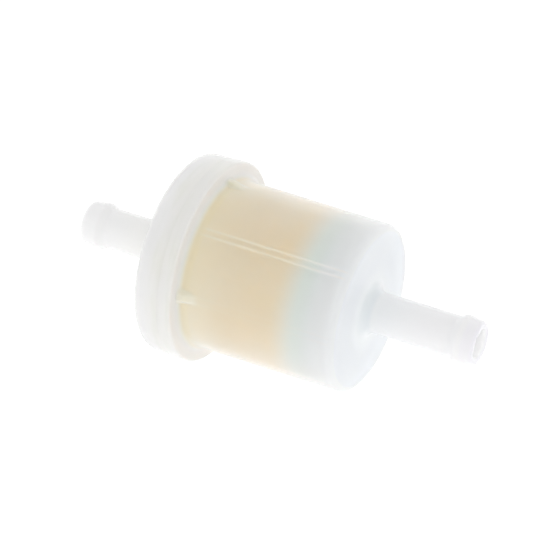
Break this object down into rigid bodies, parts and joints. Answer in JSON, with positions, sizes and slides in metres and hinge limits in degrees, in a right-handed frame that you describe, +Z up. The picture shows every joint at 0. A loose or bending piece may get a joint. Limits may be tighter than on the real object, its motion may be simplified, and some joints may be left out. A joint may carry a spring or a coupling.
{
  "type": "in-line fuel filter",
  "caption": "Small in-line fuel filter: frosted two-piece welded housing with a hose barb at each end and a pleated paper cartridge inside.",
  "frame": {"origin": "on the filter's axis at the tip of the outlet barb, where the outlet hose is pushed on", "axes": "+X along the filter's axis, from the outlet barb's tip to the inlet barb's tip; +Z up; fuel flows towards -X"},
  "size_m": [0.0736, 0.0352, 0.0352],
  "materials": {
    "housing": "frosted, milky translucent, softly glossy moulded nylon",
    "weld": "re-set translucent nylon of the weld",
    "paper": "resin-treated tan filter paper, dull",
    "adhesive": "set cream adhesive, satin",
    "cartridge_plastic": "satin pale blue-grey moulded plastic"
  },
  "bodies": {
    "root": {"outlet_cap": "housing", "inlet_cup": "housing", "weld_bead": "weld", "collar_bond": "adhesive", "open_end_collar": "cartridge_plastic", "open_end_potting": "adhesive", "pleated_paper": "paper", "side_seam_strip": "adhesive", "closed_end_potting": "adhesive", "closed_end_disc": "cartridge_plastic"}
  },
  "joints": []
}
